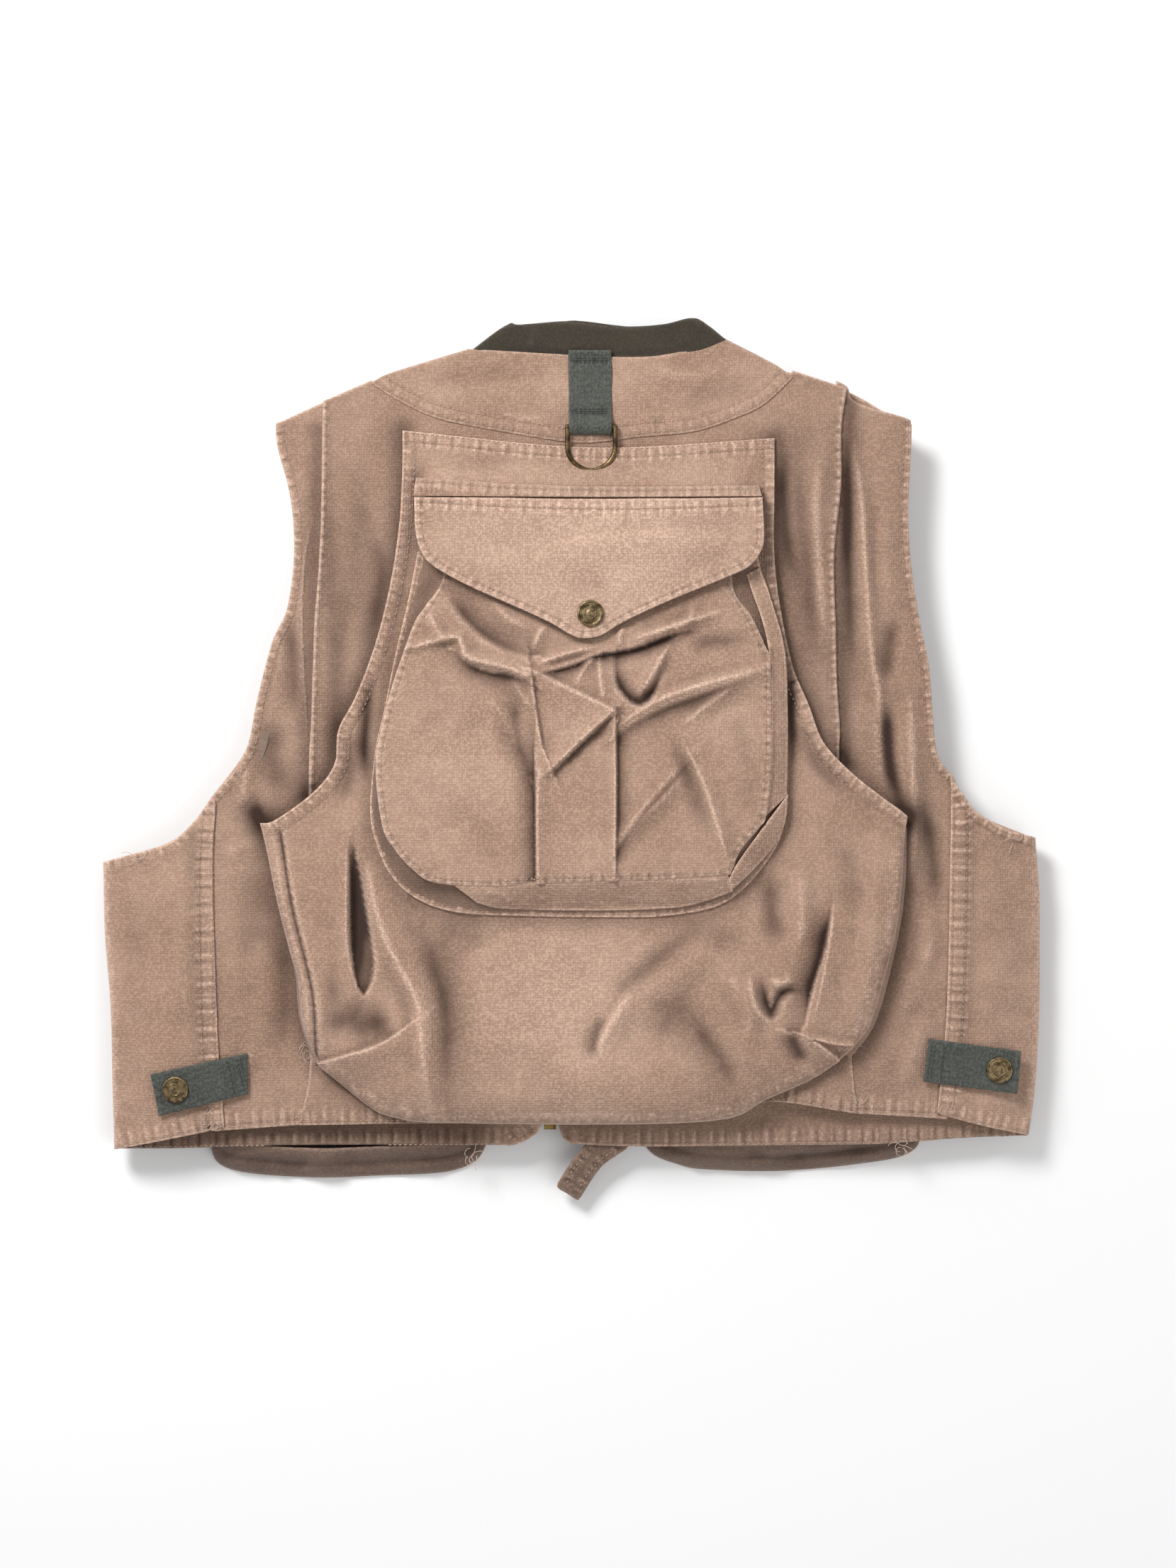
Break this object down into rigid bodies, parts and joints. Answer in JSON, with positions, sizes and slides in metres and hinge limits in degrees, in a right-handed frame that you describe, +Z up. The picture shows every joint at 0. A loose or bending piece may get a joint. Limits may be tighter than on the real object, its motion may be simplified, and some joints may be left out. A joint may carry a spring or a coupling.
{
  "type": "fishing vest",
  "caption": "Short fly-fishing vest in faded canvas, lying back up, with a rear pouch, flapped bellows pocket, net ring at the neck, snap side tabs, front pockets and a zip.",
  "frame": {"origin": "centre of the vest's outline, on the surface that it lies on", "axes": "+X to the right, +Y towards the collar, +Z up out of the back, as the vest lies on its front"},
  "size_m": [0.569, 0.535, 0.058],
  "materials": {
    "canvas": "faded salmon-tan cotton canvas, worn pale along its seams",
    "lining_cloth": "the same canvas, less faded",
    "moleskin_band": "dark olive brushed cotton",
    "cotton_webbing": "grey-green woven cotton webbing",
    "antique_brass": "antique brass, worn bright on its high points",
    "zip_tape": "woven cotton zip tape",
    "zip_brass": "brushed brass"
  },
  "bodies": {
    "vest": {"left_front_panel": "canvas", "right_front_panel": "canvas", "back_yoke": "canvas", "back_panel": "canvas", "left_back_side_panel": "canvas", "right_back_side_panel": "canvas", "left_armhole_facing": "lining_cloth", "right_armhole_facing": "lining_cloth", "neck_band": "moleskin_band", "rear_pouch_panel": "canvas", "left_pouch_gusset": "canvas", "right_pouch_gusset": "canvas", "cargo_pocket_panel": "canvas", "cargo_pocket_gusset": "canvas", "cargo_flap_strip": "canvas", "net_loop_webbing": "cotton_webbing", "left_lower_pocket_panel": "canvas", "left_lower_pocket_gusset": "canvas", "right_lower_pocket_panel": "canvas", "right_lower_pocket_gusset": "canvas", "left_chest_pocket_panel": "canvas", "left_chest_pocket_gusset": "canvas", "right_chest_pocket_panel": "canvas", "right_chest_pocket_gusset": "canvas", "left_zip_tape": "zip_tape", "right_zip_tape": "zip_tape", "zip_teeth": "zip_brass", "zip_box": "zip_brass", "snap_studs": "antique_brass", "snap_back_plates": "antique_brass", "front_flap_strips": "canvas"},
    "cargo_flap": {"cargo_flap": "canvas", "cargo_flap_lining": "lining_cloth", "cargo_flap_snap_socket": "antique_brass", "cargo_flap_snap_cap": "antique_brass"},
    "net_ring": {"net_ring": "antique_brass"},
    "left_tab": {"left_tab_webbing": "cotton_webbing", "left_tab_snap_socket": "antique_brass", "left_tab_snap_cap": "antique_brass"},
    "right_tab": {"right_tab_webbing": "cotton_webbing", "right_tab_snap_socket": "antique_brass", "right_tab_snap_cap": "antique_brass"},
    "left_lower_flap": {"left_lower_pocket_flap": "canvas", "left_lower_pocket_snap_socket": "antique_brass", "left_lower_pocket_snap_cap": "antique_brass"},
    "right_lower_flap": {"right_lower_pocket_flap": "canvas", "right_lower_pocket_snap_socket": "antique_brass", "right_lower_pocket_snap_cap": "antique_brass"},
    "left_chest_flap": {"left_chest_pocket_flap": "canvas", "left_chest_pocket_snap_socket": "antique_brass", "left_chest_pocket_snap_cap": "antique_brass"},
    "right_chest_flap": {"right_chest_pocket_flap": "canvas", "right_chest_pocket_snap_socket": "antique_brass", "right_chest_pocket_snap_cap": "antique_brass"},
    "zip_slider": {"zip_slider": "zip_brass"},
    "zip_pull": {"zip_pull": "zip_brass"},
    "front_strap": {"front_strap": "canvas"}
  },
  "joints": [
    {"name": "cargo_flap_hinge", "type": "hinge", "parent": "vest", "child": "cargo_flap", "pos_m": [0.012, 0.15846, 0.04436], "axis": [-1, 0, 0], "range_deg": [0, 165]},
    {"name": "net_ring_hinge", "type": "hinge", "parent": "vest", "child": "net_ring", "pos_m": [0.012, 0.201, 0.0328], "axis": [-1, 0, 0], "range_deg": [0, 160]},
    {"name": "left_tab_hinge", "type": "hinge", "parent": "vest", "child": "left_tab", "pos_m": [-0.1955, -0.1885, 0.0326], "axis": [-0.2164, 0.9763, 0], "range_deg": [0, 140]},
    {"name": "right_tab_hinge", "type": "hinge", "parent": "vest", "child": "right_tab", "pos_m": [0.214, -0.1805, 0.0326], "axis": [-0.1305, -0.9914, 0], "range_deg": [0, 140]},
    {"name": "left_lower_flap_hinge", "type": "hinge", "parent": "vest", "child": "left_lower_flap", "pos_m": [-0.137, -0.09399, 0.00844], "axis": [1, 0, 0], "range_deg": [0, 165]},
    {"name": "right_lower_flap_hinge", "type": "hinge", "parent": "vest", "child": "right_lower_flap", "pos_m": [0.129, -0.08899, 0.00844], "axis": [1, 0, 0], "range_deg": [0, 165]},
    {"name": "left_chest_flap_hinge", "type": "hinge", "parent": "vest", "child": "left_chest_flap", "pos_m": [-0.108, 0.12864, 0.00876], "axis": [1, 0, 0], "range_deg": [0, 165]},
    {"name": "right_chest_flap_hinge", "type": "hinge", "parent": "vest", "child": "right_chest_flap", "pos_m": [0.093, 0.12864, 0.00876], "axis": [1, 0, 0], "range_deg": [0, 165]},
    {"name": "zip_slide", "type": "slide", "parent": "vest", "child": "zip_slider", "axis": [0, -1, 0], "range_m": [0, 0.348]},
    {"name": "zip_pull_hinge", "type": "hinge", "parent": "zip_slider", "child": "zip_pull", "pos_m": [-0.013, 0.1417, 0.0147], "axis": [1, 0, 0], "range_deg": [0, 165]},
    {"name": "front_strap_hinge", "type": "hinge", "parent": "vest", "child": "front_strap", "pos_m": [0.0245, -0.2155, 0.0177], "axis": [1, 0, 0], "range_deg": [0, 95]}
  ]
}
